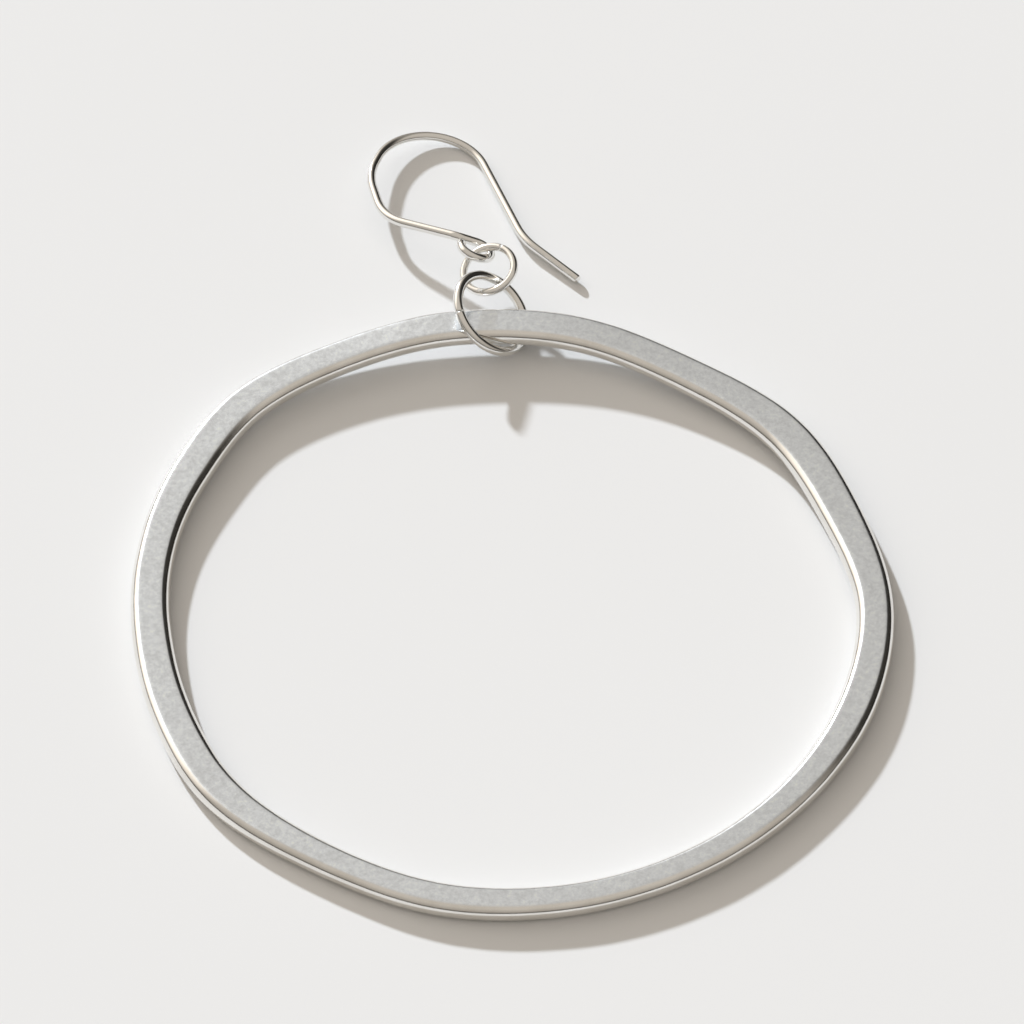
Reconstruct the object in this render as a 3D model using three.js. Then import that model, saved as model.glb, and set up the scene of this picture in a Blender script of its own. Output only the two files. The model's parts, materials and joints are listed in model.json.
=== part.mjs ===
// Drop hoop earring: a large hoop of silver bar hangs on two jump rings from a French ear wire.
// Millimetres, +Z up. The earring lies on a table: the hoop's flat face looks up, the ear wire points
// to +Y, and everything rests on the plane Z = 0. The pieces are placed from the middle of the hoop, and
// the whole is then moved so that the origin is at the middle of its outline.

import * as THREE from "three";

// ---- driving dimensions -------------------------------------------------------------------------

const SILVER = 0xd9d6d0;

const BAR_THICKNESS = 1.5;
const HOOP_SECTIONS = 120;

const HOOP_RING = { radius: 3.19, wire: 0.75, cut: 0.12 };
const LINK_RING = { radius: 2.0, wire: 0.62, cut: 0.12 };
const RING_STEPS = 36;

const EAR_WIRE_DIAMETER = 0.7;
const EAR_WIRE_STEPS = 120;
const EYE_RADIUS = 1.2;
const WIRE_SIDES = 10;

// Soft corners of the hoop, going round from +X towards +Y: radius of the bar's centre line, width of
// its flat face, and how high its underside is held above the table.
const HOOP_FORM = [
  { angle: 0, radius: 26.5, width: 1.75, lift: 0.3 },
  { angle: 20, radius: 25.9, width: 2.15, lift: 0.34 },
  { angle: 40, radius: 26.4, width: 2.3, lift: 0.45 },
  { angle: 60, radius: 26.1, width: 2.0, lift: 0.7 },
  { angle: 80, radius: 26.85, width: 2.0, lift: 1.1 },
  { angle: 100, radius: 27.3, width: 1.95, lift: 1.1 },
  { angle: 118, radius: 27.55, width: 1.8, lift: 0.7 },
  { angle: 135, radius: 28.05, width: 2.05, lift: 0.45 },
  { angle: 151, radius: 27.3, width: 2.05, lift: 0.35 },
  { angle: 166, radius: 26.85, width: 1.85, lift: 0.25 },
  { angle: 182, radius: 26.45, width: 1.85, lift: 0.15 },
  { angle: 201, radius: 26.45, width: 1.95, lift: 0.06 },
  { angle: 220, radius: 26.95, width: 1.95, lift: 0 },
  { angle: 240, radius: 26.65, width: 1.5, lift: 0 },
  { angle: 260, radius: 27.1, width: 1.5, lift: 0 },
  { angle: 280, radius: 26.95, width: 1.4, lift: 0 },
  { angle: 300, radius: 26.7, width: 1.4, lift: 0 },
  { angle: 320, radius: 26.5, width: 1.55, lift: 0 },
  { angle: 340, radius: 26.5, width: 1.8, lift: 0.14 },
];

// One side of the bar's section, from the underside up: how far each corner stands out beyond the edge
// of the flat face, and its height as a share of the thickness.
const BAR_SIDE = [
  { out: -0.05, height: 0 },
  { out: 0.27, height: 0.06 },
  { out: 0.48, height: 0.22 },
  { out: 0.55, height: 0.46 },
  { out: 0.47, height: 0.72 },
  { out: 0.27, height: 0.9 },
  { out: 0, height: 1 },
];

// Where each jump ring lies: its centre, the way that its axis points, and the turn of its cut.
const HOOP_RING_PLACE = { centre: [-1.53, 28.0, 2.36], axis: [0.605, -0.136, 0.785], cutTurn: 200 };
const LINK_RING_PLACE = { centre: [-1.77, 31.9, 3.04], axis: [-0.288, -0.187, 0.939], cutTurn: 60 };

// The eye at the end of the ear wire: its centre, the way that its axis points, the turn at which the
// leg runs into it, and how far round the wire is curled.
const EYE_PLACE = { centre: [-2.75, 33.96, 3.05], axis: [0.36, 0.29, 0.885], start: 90, curl: 285 };

// Corners of the ear wire from the tail to the eye, each rounded to its own bend radius.
const EAR_WIRE_CORNERS = [
  { name: "tail end", x: 5.05, y: 33.25, z: 0.44, bend: 0 },
  { name: "tail bend", x: 0.9, y: 37.35, z: 0.6, bend: 6 },
  { name: "bow, ear side", x: -3.7, y: 49.5, z: 0.3, bend: 4.4 },
  { name: "bow, top", x: -9.7, y: 47.25, z: 1.2, bend: 4.5 },
  { name: "bow, eye side", x: -11.1, y: 43.1, z: 1.75, bend: 5.5 },
  { name: "back of the bow", x: -9.9, y: 38.4, z: 1.9, bend: 4.2 },
  { name: "neck of the eye", x: -4.15, y: 35.25, z: 3.15, bend: 1.5 },
];

const FULL_TURN = 2 * Math.PI;

// ---- curves -------------------------------------------------------------------------------------

// Two directions at right angles to an axis, the first as near as it can be to +X.
function axesAcross(axis) {
  const normal = new THREE.Vector3(...axis).normalize();
  const across = new THREE.Vector3(1, 0, 0).addScaledVector(normal, -normal.x).normalize();
  const up = new THREE.Vector3().crossVectors(normal, across);
  return { normal, across, up };
}

// An arc of a circle in space, from one angle through a sweep, in radians.
class Arc extends THREE.Curve {
  constructor(centre, across, up, radius, start, sweep) {
    super();
    this.centre = centre;
    this.across = across;
    this.up = up;
    this.radius = radius;
    this.start = start;
    this.sweep = sweep;
  }

  getPoint(t, target = new THREE.Vector3()) {
    const angle = this.start + this.sweep * t;
    return target.copy(this.centre)
      .addScaledVector(this.across, this.radius * Math.cos(angle))
      .addScaledVector(this.up, this.radius * Math.sin(angle));
  }
}

// Straight runs between corners, with each corner replaced by an arc of its bend radius.
function bentPath(corners, lastPoint) {
  const path = new THREE.CurvePath();
  const points = corners.map((corner) => new THREE.Vector3(corner.x, corner.y, corner.z));
  points.push(lastPoint);
  let from = points[0];
  for (let i = 1; i < corners.length; i += 1) {
    const back = points[i - 1].clone().sub(points[i]).normalize();
    const ahead = points[i + 1].clone().sub(points[i]).normalize();
    const halfAngle = back.angleTo(ahead) / 2;
    const reach = corners[i].bend / Math.tan(halfAngle);
    const enter = points[i].clone().addScaledVector(back, reach);
    const leave = points[i].clone().addScaledVector(ahead, reach);
    const middle = back.clone().add(ahead).normalize();
    const centre = points[i].clone().addScaledVector(middle, corners[i].bend / Math.sin(halfAngle));
    const across = enter.clone().sub(centre).normalize();
    const up = back.clone().negate();
    path.add(new THREE.LineCurve3(from, enter));
    path.add(new Arc(centre, across, up, corners[i].bend, 0, Math.PI - 2 * halfAngle));
    from = leave;
  }
  path.add(new THREE.LineCurve3(from, lastPoint));
  return path;
}

// ---- solids -------------------------------------------------------------------------------------

// Round wire along a path, closed at both ends.
function wireGeometry(path, diameter, steps) {
  const outline = new THREE.Shape();
  for (let i = 0; i < WIRE_SIDES; i += 1) {
    const angle = (FULL_TURN * i) / WIRE_SIDES;
    const x = (diameter / 2) * Math.cos(angle);
    const y = (diameter / 2) * Math.sin(angle);
    if (i === 0) {
      outline.moveTo(x, y);
    } else {
      outline.lineTo(x, y);
    }
  }
  outline.closePath();
  return new THREE.ExtrudeGeometry(outline, { steps, extrudePath: path });
}

// The bar's section at one place: distances outwards and upwards, going round once.
function barSection(width) {
  const outer = BAR_SIDE.map(({ out, height }) => [width / 2 + out, height * BAR_THICKNESS]);
  const inner = outer.map(([out, height]) => [-out, height]).reverse();
  return [...outer, ...inner];
}

// The hoop: the bar's section carried once round the closed centre line.
function hoopGeometry() {
  const centres = HOOP_FORM.map(({ angle, radius, lift }) => {
    const turn = THREE.MathUtils.degToRad(angle);
    return new THREE.Vector3(radius * Math.cos(turn), radius * Math.sin(turn), lift);
  });
  const widths = HOOP_FORM.map(({ width }) => new THREE.Vector3(width, 0, 0));
  const centreLine = new THREE.CatmullRomCurve3(centres, true, "catmullrom");
  const widthLine = new THREE.CatmullRomCurve3(widths, true, "catmullrom");
  const positions = [];
  for (let i = 0; i < HOOP_SECTIONS; i += 1) {
    const t = i / HOOP_SECTIONS;
    const centre = centreLine.getPoint(t);
    const tangent = centreLine.getTangent(t);
    const outwards = new THREE.Vector3(tangent.y, -tangent.x, 0).normalize();
    const base = Math.max(0, centre.z);
    for (const [out, height] of barSection(widthLine.getPoint(t).x)) {
      positions.push(centre.x + outwards.x * out, centre.y + outwards.y * out, base + height);
    }
  }
  const count = 2 * BAR_SIDE.length;
  const indices = [];
  for (let i = 0; i < HOOP_SECTIONS; i += 1) {
    const here = i * count;
    const next = ((i + 1) % HOOP_SECTIONS) * count;
    for (let j = 0; j < count; j += 1) {
      const k = (j + 1) % count;
      indices.push(here + j, next + j, next + k);
      indices.push(here + j, next + k, here + k);
    }
  }
  const geometry = new THREE.BufferGeometry();
  geometry.setAttribute("position", new THREE.Float32BufferAttribute(positions, 3));
  geometry.setIndex(indices);
  geometry.computeVertexNormals();
  return geometry;
}

// A jump ring about its own centre, lying flat, with its hairline cut at the turn 0.
function jumpRingGeometry({ radius, wire, cut }) {
  const halfCut = cut / 2 / radius;
  const centre = new THREE.Vector3();
  const across = new THREE.Vector3(1, 0, 0);
  const up = new THREE.Vector3(0, 1, 0);
  const path = new Arc(centre, across, up, radius, halfCut, FULL_TURN - 2 * halfCut);
  return wireGeometry(path, wire, RING_STEPS);
}

// The ear wire: tail, leg, bow and back leg, then the eye curled from the end of the same wire.
function earWireGeometry() {
  const { across, up } = axesAcross(EYE_PLACE.axis);
  const centre = new THREE.Vector3(...EYE_PLACE.centre);
  const start = THREE.MathUtils.degToRad(EYE_PLACE.start);
  const curl = THREE.MathUtils.degToRad(EYE_PLACE.curl);
  const eye = new Arc(centre, across, up, EYE_RADIUS, start, -curl);
  const path = bentPath(EAR_WIRE_CORNERS, eye.getPoint(0));
  path.add(eye);
  return wireGeometry(path, EAR_WIRE_DIAMETER, EAR_WIRE_STEPS);
}

// ---- the earring --------------------------------------------------------------------------------

function silver(roughness) {
  return new THREE.MeshStandardMaterial({ color: SILVER, roughness, metalness: 1 });
}

function hoop() {
  const mesh = new THREE.Mesh(hoopGeometry(), silver(0.35));
  mesh.name = "hoop";
  return mesh;
}

function jumpRing(name, size, place) {
  const mesh = new THREE.Mesh(jumpRingGeometry(size), silver(0.15));
  mesh.name = name;
  mesh.rotation.z = THREE.MathUtils.degToRad(place.cutTurn);
  const holder = new THREE.Group();
  const { normal, across, up } = axesAcross(place.axis);
  holder.quaternion.setFromRotationMatrix(new THREE.Matrix4().makeBasis(across, up, normal));
  holder.position.set(...place.centre);
  holder.add(mesh);
  return holder;
}

function earWire() {
  const mesh = new THREE.Mesh(earWireGeometry(), silver(0.15));
  mesh.name = "ear_wire";
  return mesh;
}

function middleOfOutline(object) {
  object.updateMatrixWorld(true);
  return new THREE.Box3().setFromObject(object, true).getCenter(new THREE.Vector3()).setZ(0);
}

const pieces = new THREE.Group();
pieces.add(hoop());
pieces.add(jumpRing("hoop_ring", HOOP_RING, HOOP_RING_PLACE));
pieces.add(jumpRing("link_ring", LINK_RING, LINK_RING_PLACE));
pieces.add(earWire());
pieces.position.sub(middleOfOutline(pieces));

const earring = new THREE.Group();
earring.add(pieces);

export default earring;
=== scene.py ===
"""Looks of a silver drop hoop earring lying on a pale table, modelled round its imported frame."""

import json
from math import cos, pi, radians, sin, tan

import bmesh
import bpy
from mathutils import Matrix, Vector

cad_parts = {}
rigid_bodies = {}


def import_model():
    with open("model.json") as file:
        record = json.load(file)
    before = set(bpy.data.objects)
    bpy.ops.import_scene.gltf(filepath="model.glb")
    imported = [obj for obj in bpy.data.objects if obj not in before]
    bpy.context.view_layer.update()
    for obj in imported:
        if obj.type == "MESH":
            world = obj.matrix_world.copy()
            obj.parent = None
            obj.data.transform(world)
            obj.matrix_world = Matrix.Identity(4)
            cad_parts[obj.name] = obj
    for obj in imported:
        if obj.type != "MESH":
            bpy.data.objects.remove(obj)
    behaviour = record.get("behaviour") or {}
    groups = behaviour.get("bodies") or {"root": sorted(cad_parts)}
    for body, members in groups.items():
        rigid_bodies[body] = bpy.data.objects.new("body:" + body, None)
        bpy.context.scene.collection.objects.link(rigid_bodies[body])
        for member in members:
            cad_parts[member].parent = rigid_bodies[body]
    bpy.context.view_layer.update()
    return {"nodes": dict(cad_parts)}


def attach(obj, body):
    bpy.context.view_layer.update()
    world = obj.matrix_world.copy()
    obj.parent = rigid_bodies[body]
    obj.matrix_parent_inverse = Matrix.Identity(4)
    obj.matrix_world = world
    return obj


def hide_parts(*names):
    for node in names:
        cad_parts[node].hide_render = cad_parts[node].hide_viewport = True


bl_info = {
    "name": "Drop Hoop Earring",
    "version": (1, 0, 0),
    "blender": (4, 5, 0),
    "location": "View3D > Sidebar > Earring",
    "description": "Models a silver drop hoop earring on its jump rings and ear wire",
    "category": "Add Mesh",
}

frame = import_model()

MM = 0.001
BODY = "root"
MERGE = 0.000001

# Turn between two sections of a wire, in a ring, in a bend and in the eye.
RING_STEP = radians(3)
BEND_STEP = radians(4)
EYE_STEP = radians(6)

SMOOTH_ANGLE = radians(40)
WIRE_END_ANGLE = radians(60)
QUAD_ANGLE = radians(60)
FLAT_FACE = 0.97

SUN_TRAVEL = (1.06, -1.98, -1.0)
SUN_WIDTH = radians(3.0)
CAMERA_PLACE = (0.0, -0.32046, 0.3703)

# The middle of the hoop. The places below are measured from it, in millimetres.
HOOP_MIDDLE = Vector((0.0, -10.147, 0.0))

# Where each jump ring lies: its middle, the way that its axis points, and the turn of its cut.
RINGS = {
    "hoop_ring": {"centre": (-1.53, 28.0, 2.36), "axis": (0.605, -0.136, 0.785), "cut_turn": 200},
    "link_ring": {"centre": (-1.77, 31.9, 3.04), "axis": (-0.288, -0.187, 0.939), "cut_turn": 60},
}

# The eye curled from the end of the ear wire.
EYE = {"centre": (-2.75, 33.96, 3.05), "axis": (0.36, 0.29, 0.885), "start": 90, "curl": 285}

# Corners of the ear wire from the tail to the eye, each with its bend radius.
EAR_WIRE_CORNERS = [
    {"name": "tail end", "place": (5.05, 33.25, 0.44), "bend": 0.0},
    {"name": "tail bend", "place": (0.9, 37.35, 0.6), "bend": 6.0},
    {"name": "bow, ear side", "place": (-3.7, 49.5, 0.3), "bend": 4.4},
    {"name": "bow, top", "place": (-9.7, 47.25, 1.2), "bend": 4.5},
    {"name": "bow, eye side", "place": (-11.1, 43.1, 1.75), "bend": 5.5},
    {"name": "back of the bow", "place": (-9.9, 38.4, 1.9), "bend": 4.2},
    {"name": "neck of the eye", "place": (-4.15, 35.25, 3.15), "bend": 1.5},
]


# ---- sizes and colours a user would change --------------------------------------------------------

class HoopSizes(bpy.types.PropertyGroup):
    """The hoop's surface."""

    edge: bpy.props.FloatProperty(
        name="Edge Width", description="Width of the flat border kept beside each rounded edge",
        default=0.00012, min=0.0, unit="LENGTH")
    planish: bpy.props.FloatProperty(
        name="Planishing", description="Depth of the soft unevenness left by the hammer",
        default=0.00002, min=0.0, unit="LENGTH")
    planish_size: bpy.props.FloatProperty(
        name="Hammer Mark", description="Size of one hammer mark",
        default=0.0022, min=0.0001, unit="LENGTH")


class WireSizes(bpy.types.PropertyGroup):
    """The round wires of the rings and of the ear wire."""

    ear_wire: bpy.props.FloatProperty(
        name="Ear Wire", description="Thickness of the ear wire", default=0.7 * MM, unit="LENGTH")
    eye_radius: bpy.props.FloatProperty(
        name="Eye Radius", description="Radius of the eye, to the middle of the wire",
        default=1.2 * MM, unit="LENGTH")
    hoop_ring: bpy.props.FloatProperty(
        name="Hoop Ring Wire", description="Thickness of the larger jump ring's wire",
        default=0.75 * MM, unit="LENGTH")
    hoop_ring_radius: bpy.props.FloatProperty(
        name="Hoop Ring Radius", description="Radius of the larger jump ring, to the middle of its wire",
        default=3.19 * MM, unit="LENGTH")
    link_ring: bpy.props.FloatProperty(
        name="Link Ring Wire", description="Thickness of the small jump ring's wire",
        default=0.62 * MM, unit="LENGTH")
    link_ring_radius: bpy.props.FloatProperty(
        name="Link Ring Radius", description="Radius of the small jump ring, to the middle of its wire",
        default=2.0 * MM, unit="LENGTH")
    cut: bpy.props.FloatProperty(
        name="Ring Cut", description="Gap of the hairline cut in each jump ring",
        default=0.12 * MM, unit="LENGTH")
    sides: bpy.props.IntProperty(
        name="Wire Sides", description="Flat sides round each wire", default=24, min=8)


class SilverFinish(bpy.types.PropertyGroup):
    """The silver's colours."""

    satin: bpy.props.FloatVectorProperty(
        name="Satin Silver", description="Colour of the brushed face",
        subtype="COLOR", size=3, default=(0.87, 0.925, 0.99), min=0.0, max=1.0)
    polished: bpy.props.FloatVectorProperty(
        name="Polished Silver", description="Colour of the polished sides and wires",
        subtype="COLOR", size=3, default=(0.90, 0.885, 0.855), min=0.0, max=1.0)
    tarnish: bpy.props.FloatVectorProperty(
        name="Tarnish", description="Colour of the faint warm film on the silver",
        subtype="COLOR", size=3, default=(0.50, 0.46, 0.39), min=0.0, max=1.0)


class StageSettings(bpy.types.PropertyGroup):
    """The table, the light and the camera."""

    table: bpy.props.FloatVectorProperty(
        name="Table", description="Colour of the table top",
        subtype="COLOR", size=3, default=(0.80, 0.80, 0.80), min=0.0, max=1.0)
    table_size: bpy.props.FloatProperty(
        name="Table Size", description="Length of the table's side", default=6.0, unit="LENGTH")
    sun_strength: bpy.props.FloatProperty(
        name="Sun Strength", description="Strength of the window light", default=4.25, min=0.0)
    sky_strength: bpy.props.FloatProperty(
        name="Sky Strength", description="Strength of the light all round", default=0.385, min=0.0)
    sky: bpy.props.FloatVectorProperty(
        name="Sky", description="Colour of the light all round",
        subtype="COLOR", size=3, default=(1.0, 0.92, 0.82), min=0.0, max=2.0)
    sun: bpy.props.FloatVectorProperty(
        name="Sun", description="Colour of the window light",
        subtype="COLOR", size=3, default=(0.87, 0.93, 1.0), min=0.0, max=2.0)
    window: bpy.props.FloatVectorProperty(
        name="Window", description="Where the room is brightest", size=3, default=(-0.7, 0.65, 0.3))
    corner: bpy.props.FloatVectorProperty(
        name="Dark Corner", description="Where the room is darkest", size=3, default=(0.72, 0.6, 0.3))
    lens: bpy.props.FloatProperty(
        name="Lens", description="Focal length of the camera", default=232.0, min=1.0)


# ---- selecting and shaping by hand ----------------------------------------------------------------

def deselect_all():
    """Leaves object mode with nothing selected."""
    if bpy.context.mode != "OBJECT":
        bpy.ops.object.mode_set(mode="OBJECT")
    bpy.ops.object.select_all(action="DESELECT")


def select_only(piece):
    """Makes one object the only selected and the active one."""
    deselect_all()
    piece.select_set(True)
    bpy.context.view_layer.objects.active = piece


def finish_piece(piece, name):
    """Names a finished piece, applies its place and hangs it on the frame in its node's stead."""
    select_only(piece)
    bpy.ops.object.transform_apply(location=True, rotation=True, scale=True)
    piece.name = name
    piece.data.name = name
    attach(piece, BODY)


def on_frame(place):
    """A place measured from the hoop's middle in millimetres, in the frame's metres."""
    return (HOOP_MIDDLE + Vector(place)) * MM


def axes_across(axis):
    """Two directions at right angles to an axis, the first as near as it can be to +X."""
    normal = Vector(axis).normalized()
    across = (Vector((1, 0, 0)) - normal * normal.x).normalized()
    return normal, across, normal.cross(across)


def start_wire(place, along, thickness, sides):
    """Adds the round section that a wire is drawn from, facing along the wire, in edit mode."""
    deselect_all()
    turn = along.to_track_quat("Z", "Y").to_euler()
    bpy.ops.mesh.primitive_circle_add(
        vertices=sides, radius=thickness / 2, fill_type="NOTHING", location=place, rotation=turn)
    piece = bpy.context.object
    bpy.ops.object.transform_apply(location=True, rotation=True, scale=True)
    bpy.ops.object.mode_set(mode="EDIT")
    bpy.ops.mesh.select_all(action="SELECT")
    return piece


def draw_straight(offset):
    """Draws the wire on in a straight run, and leaves its new end selected."""
    bpy.ops.mesh.extrude_region_move(TRANSFORM_OT_translate={"value": tuple(offset)})


def draw_bend(centre, axis, angle, step):
    """Draws the wire on round a bend, anticlockwise about its axis, and leaves its end selected."""
    steps = max(2, round(angle / step))
    # Spin turns clockwise about its axis, so the angle is negative.
    bpy.ops.mesh.spin(steps=steps, angle=-angle, center=tuple(centre), axis=tuple(axis))


def close_wire(piece, end_round):
    """Merges the wire's sections, closes both ends, rounds their rims and smooths the wire."""
    bpy.ops.mesh.select_all(action="SELECT")
    bpy.ops.mesh.remove_doubles(threshold=MERGE)
    bpy.ops.mesh.fill_holes(sides=0)
    bpy.ops.mesh.select_all(action="SELECT")
    bpy.ops.mesh.normals_make_consistent(inside=False)
    bpy.ops.mesh.select_all(action="DESELECT")
    bpy.ops.mesh.select_mode(type="EDGE")
    bpy.ops.mesh.edges_select_sharp(sharpness=WIRE_END_ANGLE)
    bpy.ops.mesh.bevel(offset=end_round, segments=4, profile=0.5)
    bpy.ops.object.mode_set(mode="OBJECT")
    select_only(piece)
    bpy.ops.object.shade_smooth_by_angle(angle=SMOOTH_ANGLE)


# ---- finishes ---------------------------------------------------------------------------------------

def new_group(name, inputs, outputs):
    """A shader node group with named sockets, and its two end nodes."""
    group = bpy.data.node_groups.new(name, "ShaderNodeTree")
    for label, kind, default in inputs:
        socket = group.interface.new_socket(label, in_out="INPUT", socket_type=kind)
        if default is not None:
            socket.default_value = default
    for label, kind in outputs:
        group.interface.new_socket(label, in_out="OUTPUT", socket_type=kind)
    return group, group.nodes.new("NodeGroupInput"), group.nodes.new("NodeGroupOutput")


def math_node(nodes, operation, value=None):
    """A Math node with its second value set."""
    node = nodes.new("ShaderNodeMath")
    node.operation = operation
    if value is not None:
        node.inputs[1].default_value = value
    return node


def range_node(nodes, low, high, to_low=0.0, to_high=1.0):
    """A clamped Map Range node."""
    node = nodes.new("ShaderNodeMapRange")
    node.inputs["From Min"].default_value = low
    node.inputs["From Max"].default_value = high
    node.inputs["To Min"].default_value = to_low
    node.inputs["To Max"].default_value = to_high
    return node


def noise_node(nodes, scale, detail, roughness=0.5):
    """A Noise node with its sizes set."""
    node = nodes.new("ShaderNodeTexNoise")
    node.inputs["Scale"].default_value = scale
    node.inputs["Detail"].default_value = detail
    node.inputs["Roughness"].default_value = roughness
    return node


def handling_marks_group():
    """Fine rub marks and a cloudy film, as every worn piece of silver has."""
    group, start, end = new_group(
        "Handling Marks",
        [("Vector", "NodeSocketVector", None), ("Mark Size", "NodeSocketFloat", 1.0)],
        [("Film", "NodeSocketFloat"), ("Rub", "NodeSocketFloat"), ("Height", "NodeSocketFloat")])
    nodes, links = group.nodes, group.links
    scaled = nodes.new("ShaderNodeVectorMath")
    scaled.operation = "SCALE"
    links.new(start.outputs["Vector"], scaled.inputs[0])
    links.new(start.outputs["Mark Size"], scaled.inputs["Scale"])
    film = noise_node(nodes, 260.0, 5.0, 0.6)
    rub = noise_node(nodes, 1900.0, 4.0, 0.65)
    dents = noise_node(nodes, 800.0, 2.0, 0.4)
    film_range = range_node(nodes, 0.42, 0.72)
    rub_range = range_node(nodes, 0.3, 0.7)
    for noise in (film, rub, dents):
        links.new(scaled.outputs[0], noise.inputs["Vector"])
    links.new(film.outputs["Fac"], film_range.inputs["Value"])
    links.new(rub.outputs["Fac"], rub_range.inputs["Value"])
    links.new(film_range.outputs["Result"], end.inputs["Film"])
    links.new(rub_range.outputs["Result"], end.inputs["Rub"])
    links.new(dents.outputs["Fac"], end.inputs["Height"])
    return group


def silver_material(name, colour, tarnish, marks, roughness, film_share, dent_depth):
    """Polished silver: a bright metal with faint film, rub marks and tiny dents."""
    material = bpy.data.materials.new(name)
    material.use_nodes = True
    nodes, links = material.node_tree.nodes, material.node_tree.links
    shader = nodes["Principled BSDF"]
    shader.inputs["Metallic"].default_value = 1.0
    place = nodes.new("ShaderNodeTexCoord")
    worn = nodes.new("ShaderNodeGroup")
    worn.node_tree = marks
    worn.inputs["Mark Size"].default_value = 1.0
    links.new(place.outputs["Object"], worn.inputs["Vector"])
    film = math_node(nodes, "MULTIPLY", film_share)
    links.new(worn.outputs["Film"], film.inputs[0])
    tone = nodes.new("ShaderNodeMix")
    tone.data_type = "RGBA"
    tone.inputs["A"].default_value = (*colour, 1.0)
    tone.inputs["B"].default_value = (*tarnish, 1.0)
    links.new(film.outputs[0], tone.inputs["Factor"])
    links.new(tone.outputs["Result"], shader.inputs["Base Color"])
    gloss = range_node(nodes, 0.0, 1.0, roughness, roughness + 0.09)
    links.new(worn.outputs["Rub"], gloss.inputs["Value"])
    links.new(gloss.outputs["Result"], shader.inputs["Roughness"])
    bump = nodes.new("ShaderNodeBump")
    bump.inputs["Strength"].default_value = 0.35
    bump.inputs["Distance"].default_value = dent_depth
    links.new(worn.outputs["Height"], bump.inputs["Height"])
    links.new(bump.outputs["Normal"], shader.inputs["Normal"])
    return material


def satin_face_material(name, finish, marks):
    """The hoop's silver: a satin, finely grained face between polished sides and bright edges."""
    material = silver_material(
        name, finish.polished, finish.tarnish, marks, roughness=0.09, film_share=0.25,
        dent_depth=0.00002)
    nodes, links = material.node_tree.nodes, material.node_tree.links
    shader = nodes["Principled BSDF"]
    place = nodes.new("ShaderNodeTexCoord")
    normal = nodes.new("ShaderNodeNewGeometry")
    direction = nodes.new("ShaderNodeSeparateXYZ")
    links.new(normal.outputs["Normal"], direction.inputs[0])
    face = range_node(nodes, 0.86, 0.985)
    links.new(direction.outputs["Z"], face.inputs["Value"])
    grain = noise_node(nodes, 5200.0, 3.0, 0.7)
    speck = noise_node(nodes, 2300.0, 2.0, 0.5)
    for noise in (grain, speck):
        links.new(place.outputs["Object"], noise.inputs["Vector"])
    grain_tone = range_node(nodes, 0.3, 0.7, 0.93, 1.05)
    links.new(grain.outputs["Fac"], grain_tone.inputs["Value"])
    speck_tone = range_node(nodes, 0.34, 0.66, 0.95, 1.04)
    links.new(speck.outputs["Fac"], speck_tone.inputs["Value"])
    tone = math_node(nodes, "MULTIPLY")
    links.new(grain_tone.outputs["Result"], tone.inputs[0])
    links.new(speck_tone.outputs["Result"], tone.inputs[1])
    satin = nodes.new("ShaderNodeVectorMath")
    satin.operation = "SCALE"
    satin.inputs[0].default_value = finish.satin
    links.new(tone.outputs[0], satin.inputs["Scale"])
    colour = nodes.new("ShaderNodeMix")
    colour.data_type = "RGBA"
    links.new(face.outputs["Result"], colour.inputs["Factor"])
    links.new(shader.inputs["Base Color"].links[0].from_socket, colour.inputs["A"])
    links.new(satin.outputs[0], colour.inputs["B"])
    links.new(colour.outputs["Result"], shader.inputs["Base Color"])
    satin_gloss = range_node(nodes, 0.3, 0.7, 0.2, 0.24)
    links.new(speck.outputs["Fac"], satin_gloss.inputs["Value"])
    gloss = nodes.new("ShaderNodeMix")
    links.new(face.outputs["Result"], gloss.inputs["Factor"])
    links.new(shader.inputs["Roughness"].links[0].from_socket, gloss.inputs["A"])
    links.new(satin_gloss.outputs["Result"], gloss.inputs["B"])
    links.new(gloss.outputs["Result"], shader.inputs["Roughness"])
    height = math_node(nodes, "MULTIPLY")
    links.new(grain.outputs["Fac"], height.inputs[0])
    links.new(face.outputs["Result"], height.inputs[1])
    fine = nodes.new("ShaderNodeBump")
    fine.inputs["Strength"].default_value = 0.18
    fine.inputs["Distance"].default_value = 0.00002
    links.new(height.outputs[0], fine.inputs["Height"])
    links.new(shader.inputs["Normal"].links[0].from_socket, fine.inputs["Normal"])
    links.new(fine.outputs["Normal"], shader.inputs["Normal"])
    return material


def table_material(name, colour):
    """A plain, pale, matt table top with a trace of mottling."""
    material = bpy.data.materials.new(name)
    material.use_nodes = True
    nodes, links = material.node_tree.nodes, material.node_tree.links
    shader = nodes["Principled BSDF"]
    shader.inputs["Roughness"].default_value = 0.75
    shader.inputs["Specular IOR Level"].default_value = 0.2
    place = nodes.new("ShaderNodeTexCoord")
    mottle = noise_node(nodes, 9.0, 3.0)
    links.new(place.outputs["Object"], mottle.inputs["Vector"])
    tone = range_node(nodes, 0.3, 0.7, 0.985, 1.0)
    links.new(mottle.outputs["Fac"], tone.inputs["Value"])
    shade = nodes.new("ShaderNodeVectorMath")
    shade.operation = "SCALE"
    shade.inputs[0].default_value = colour
    links.new(tone.outputs["Result"], shade.inputs["Scale"])
    links.new(shade.outputs[0], shader.inputs["Base Color"])
    return material


def handling_marks():
    """The one node group that every silver finish shares."""
    return bpy.data.node_groups.get("Handling Marks") or handling_marks_group()


def polished_silver():
    """The polished wire finish, made once."""
    finish = bpy.context.scene.earring_finish
    return bpy.data.materials.get("polished_silver") or silver_material(
        "polished_silver", finish.polished, finish.tarnish, handling_marks(),
        roughness=0.17, film_share=0.2, dent_depth=0.00002)


# ---- pieces -------------------------------------------------------------------------------------------

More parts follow.
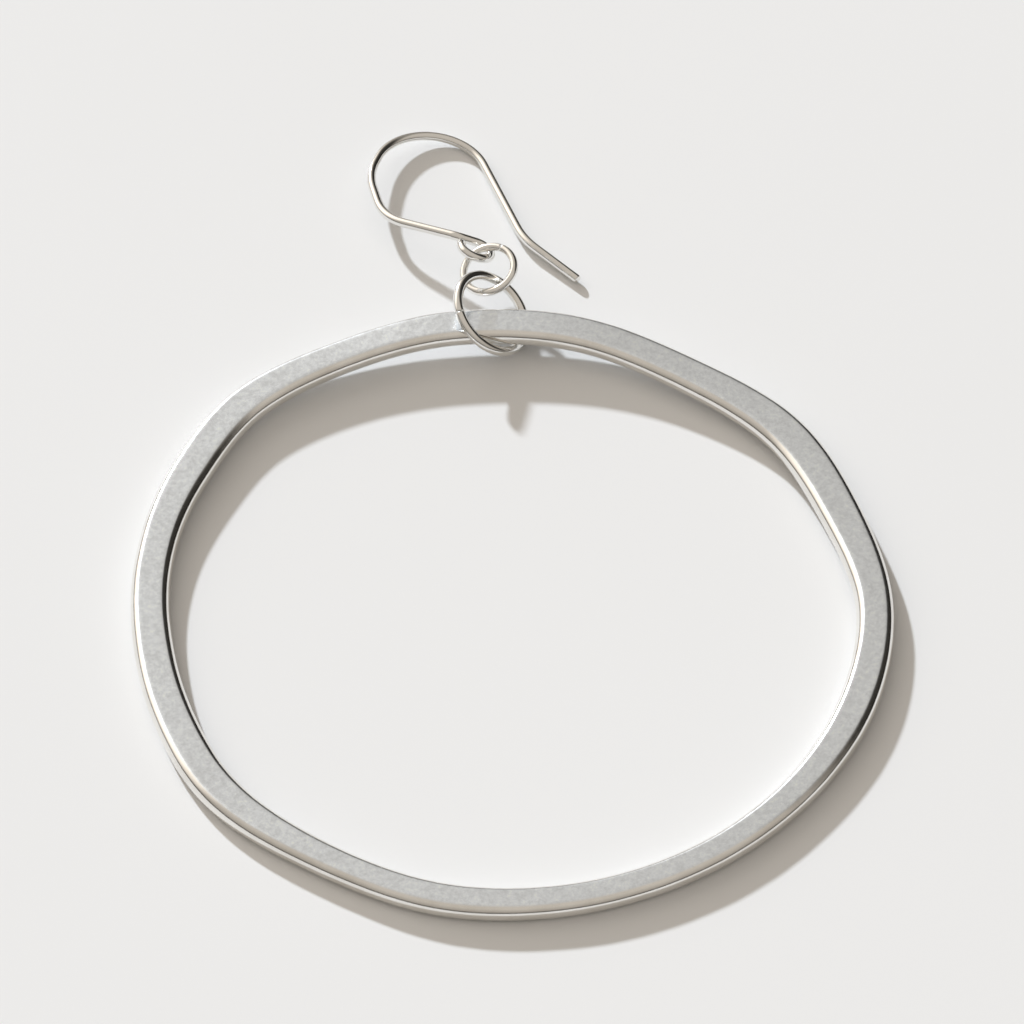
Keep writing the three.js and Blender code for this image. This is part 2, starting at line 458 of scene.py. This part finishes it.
class EARRING_OT_hoop(bpy.types.Operator):
    """Refines the hoop of silver bar: rounded edges, flat satin face, hammered unevenness"""

    bl_idname = "earring.hoop"
    bl_label = "Hoop"

    def execute(self, context):
        sizes = context.scene.earring_hoop
        select_only(frame["nodes"]["hoop"])
        bpy.ops.object.duplicate(linked=False)
        piece = context.object
        bpy.ops.object.parent_clear(type="CLEAR_KEEP_TRANSFORM")
        bpy.ops.object.mode_set(mode="EDIT")
        bpy.ops.mesh.select_all(action="SELECT")
        bpy.ops.mesh.remove_doubles(threshold=MERGE)
        bpy.ops.mesh.tris_convert_to_quads(face_threshold=QUAD_ANGLE, shape_threshold=QUAD_ANGLE)
        bpy.ops.mesh.select_all(action="DESELECT")
        bpy.ops.mesh.select_mode(type="FACE")
        self.select_flat_faces(piece)
        bpy.ops.mesh.inset(thickness=sizes.edge, depth=0.0, use_even_offset=True)
        bpy.ops.object.mode_set(mode="OBJECT")
        self.smooth_and_planish(piece, sizes)
        piece.data.materials.clear()
        piece.data.materials.append(satin_face_material(
            "satin_silver", context.scene.earring_finish, handling_marks()))
        finish_piece(piece, "silver_hoop")
        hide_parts("hoop")
        return {"FINISHED"}

    @staticmethod
    def select_flat_faces(piece):
        """Selects the bar's upper and under faces."""
        mesh = bmesh.from_edit_mesh(piece.data)
        for face in mesh.faces:
            face.select = abs(face.normal.z) > FLAT_FACE
        bmesh.update_edit_mesh(piece.data)

    @staticmethod
    def smooth_and_planish(piece, sizes):
        """Rounds the section, and lets the hammer's marks show in the surface."""
        select_only(piece)
        smooth = piece.modifiers.new("Rounding", "SUBSURF")
        smooth.levels = 2
        smooth.render_levels = 2
        bpy.ops.object.modifier_apply(modifier=smooth.name)
        marks = bpy.data.textures.new("hammer_marks", "CLOUDS")
        marks.noise_scale = sizes.planish_size
        marks.noise_depth = 1
        hammer = piece.modifiers.new("Hammer Marks", "DISPLACE")
        hammer.texture = marks
        hammer.texture_coords = "LOCAL"
        hammer.mid_level = 1.0
        hammer.strength = sizes.planish
        bpy.ops.object.modifier_apply(modifier=hammer.name)
        bpy.ops.object.shade_smooth()


class EARRING_OT_jump_rings(bpy.types.Operator):
    """Draws the two jump rings, each a round wire turned once round with a hairline cut"""

    bl_idname = "earring.jump_rings"
    bl_label = "Jump Rings"

    def execute(self, context):
        sizes = context.scene.earring_wires
        for name, place in RINGS.items():
            wire = getattr(sizes, name)
            radius = getattr(sizes, name + "_radius")
            piece = self.turn_ring(place, wire, radius, sizes)
            piece.data.materials.append(polished_silver())
            finish_piece(piece, "silver_" + name)
            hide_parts(name)
        return {"FINISHED"}

    @staticmethod
    def turn_ring(place, wire, radius, sizes):
        """One ring of wire, spun about its own axis from one side of its cut to the other."""
        normal, across, up = axes_across(place["axis"])
        centre = on_frame(place["centre"])
        half_cut = sizes.cut / radius / 2
        turn = radians(place["cut_turn"]) + half_cut
        out = across * cos(turn) + up * sin(turn)
        piece = start_wire(centre + out * radius, normal.cross(out), wire, sizes.sides)
        draw_bend(centre, normal, 2 * pi - 2 * half_cut, RING_STEP)
        close_wire(piece, wire * 0.06)
        return piece


class EARRING_OT_ear_wire(bpy.types.Operator):
    """Bends the ear wire from its tail, round the bow, to the eye that holds the link ring"""

    bl_idname = "earring.ear_wire"
    bl_label = "Ear Wire"

    def execute(self, context):
        sizes = context.scene.earring_wires
        normal, across, up = axes_across(EYE["axis"])
        centre = on_frame(EYE["centre"])
        start = radians(EYE["start"])
        eye_start = centre + (across * cos(start) + up * sin(start)) * sizes.eye_radius
        corners = [on_frame(corner["place"]) for corner in EAR_WIRE_CORNERS] + [eye_start]
        here = corners[0]
        piece = start_wire(here, corners[1] - here, sizes.ear_wire, sizes.sides)
        for index in range(1, len(corners) - 1):
            here = self.run_and_bend(corners, index, here)
        draw_straight(eye_start - here)
        draw_bend(centre, -normal, radians(EYE["curl"]), EYE_STEP)
        close_wire(piece, sizes.ear_wire * 0.2)
        piece.data.materials.append(polished_silver())
        finish_piece(piece, "silver_ear_wire")
        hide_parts("ear_wire")
        return {"FINISHED"}

    @staticmethod
    def run_and_bend(corners, index, here):
        """Draws the wire straight up to a corner's bend and round it, and says where it ends."""
        corner = corners[index]
        bend = EAR_WIRE_CORNERS[index]["bend"] * MM
        back = (corners[index - 1] - corner).normalized()
        ahead = (corners[index + 1] - corner).normalized()
        half_angle = back.angle(ahead) / 2
        reach = bend / tan(half_angle)
        enter = corner + back * reach
        bend_centre = corner + (back + ahead).normalized() * (bend / sin(half_angle))
        draw_straight(enter - here)
        draw_bend(bend_centre, ahead.cross(back).normalized(), pi - 2 * half_angle, BEND_STEP)
        return corner + ahead * reach


class EARRING_OT_stage(bpy.types.Operator):
    """Sets the table, the low window light, the light all round and the camera"""

    bl_idname = "earring.stage"
    bl_label = "Table, Light and Camera"

    def execute(self, context):
        stage = context.scene.earring_stage
        self.lay_table(stage)
        self.hang_sun(stage)
        self.light_room(context.scene, stage)
        self.place_camera(context.scene, stage)
        return {"FINISHED"}

    @staticmethod
    def lay_table(stage):
        """A plain table top at the height that the earring lies on."""
        deselect_all()
        bpy.ops.mesh.primitive_plane_add(size=stage.table_size, location=(0, 0, 0))
        table = bpy.context.object
        table.name = "table_top"
        table.data.materials.append(table_material("table_white", stage.table))

    @staticmethod
    def hang_sun(stage):
        """Window light from the upper left, low enough for long soft-edged shadows."""
        deselect_all()
        bpy.ops.object.light_add(type="SUN", location=(-0.5, 0.9, 0.5))
        sun = bpy.context.object
        sun.rotation_euler = Vector(SUN_TRAVEL).to_track_quat("-Z", "Y").to_euler()
        sun.data.energy = stage.sun_strength
        sun.data.angle = SUN_WIDTH
        sun.data.color = stage.sun

    @staticmethod
    def light_room(scene, stage):
        """A warm room: its window at the back left, a dark corner at the back right."""
        room = bpy.data.worlds.new("room")
        scene.world = room
        scene.view_settings.view_transform = "Standard"
        room.use_nodes = True
        nodes, links = room.node_tree.nodes, room.node_tree.links
        place = nodes.new("ShaderNodeTexCoord")
        height = nodes.new("ShaderNodeSeparateXYZ")
        links.new(place.outputs["Generated"], height.inputs[0])
        parts = []
        for low, high, to_low, to_high in ((0.03, 0.3, 0.08, 1.0), (0.3, 0.8, 1.0, 1.5)):
            raised = range_node(nodes, low, high, to_low, to_high)
            links.new(height.outputs["Z"], raised.inputs["Value"])
            parts.append(raised.outputs["Result"])
        for towards, low, high, to_low, to_high in (
                (stage.window, 0.7, 0.98, 1.0, 3.6), (stage.corner, 0.68, 0.88, 1.0, 0.08)):
            facing = nodes.new("ShaderNodeVectorMath")
            facing.operation = "DOT_PRODUCT"
            facing.inputs[1].default_value = Vector(towards).normalized()
            links.new(place.outputs["Generated"], facing.inputs[0])
            share = range_node(nodes, low, high, to_low, to_high)
            links.new(facing.outputs["Value"], share.inputs["Value"])
            parts.append(share.outputs["Result"])
        light = parts[0]
        for part in parts[1:]:
            product = math_node(nodes, "MULTIPLY")
            links.new(light, product.inputs[0])
            links.new(part, product.inputs[1])
            light = product.outputs[0]
        strength = math_node(nodes, "MULTIPLY", stage.sky_strength)
        links.new(light, strength.inputs[0])
        background = nodes["Background"]
        background.inputs["Color"].default_value = (*stage.sky, 1.0)
        links.new(strength.outputs[0], background.inputs["Strength"])

    @staticmethod
    def place_camera(scene, stage):
        """A long lens from in front and well above, aimed at the middle of the earring."""
        deselect_all()
        place = Vector(CAMERA_PLACE)
        bpy.ops.object.camera_add(location=place)
        camera = bpy.context.object
        camera.rotation_euler = (-place).to_track_quat("-Z", "Y").to_euler()
        camera.data.lens = stage.lens
        camera.data.sensor_width = 36.0
        camera.data.clip_start = 0.01
        scene.camera = camera


class VIEW3D_PT_earring(bpy.types.Panel):
    """Lists the pieces of the earring and their sizes"""

    bl_label = "Drop Hoop Earring"
    bl_space_type = "VIEW_3D"
    bl_region_type = "UI"
    bl_category = "Earring"

    def draw(self, context):
        layout = self.layout
        for group in GROUPS:
            settings = getattr(context.scene, group)
            column = layout.column(align=True)
            for label in settings.__annotations__:
                column.prop(settings, label)
        for operator in OPERATORS:
            layout.operator(operator.bl_idname)


GROUPS = {
    "earring_hoop": HoopSizes,
    "earring_wires": WireSizes,
    "earring_finish": SilverFinish,
    "earring_stage": StageSettings,
}
OPERATORS = (EARRING_OT_hoop, EARRING_OT_jump_rings, EARRING_OT_ear_wire, EARRING_OT_stage)


def register():
    for name, group in GROUPS.items():
        bpy.utils.register_class(group)
        setattr(bpy.types.Scene, name, bpy.props.PointerProperty(type=group))
    for operator in OPERATORS:
        bpy.utils.register_class(operator)
    bpy.utils.register_class(VIEW3D_PT_earring)


def unregister():
    bpy.utils.unregister_class(VIEW3D_PT_earring)
    for operator in reversed(OPERATORS):
        bpy.utils.unregister_class(operator)
    for name, group in reversed(GROUPS.items()):
        delattr(bpy.types.Scene, name)
        bpy.utils.unregister_class(group)


def main():
    register()
    bpy.ops.earring.stage()
    bpy.ops.earring.hoop()
    bpy.ops.earring.jump_rings()
    bpy.ops.earring.ear_wire()
    deselect_all()


if __name__ == "__main__":
    main()
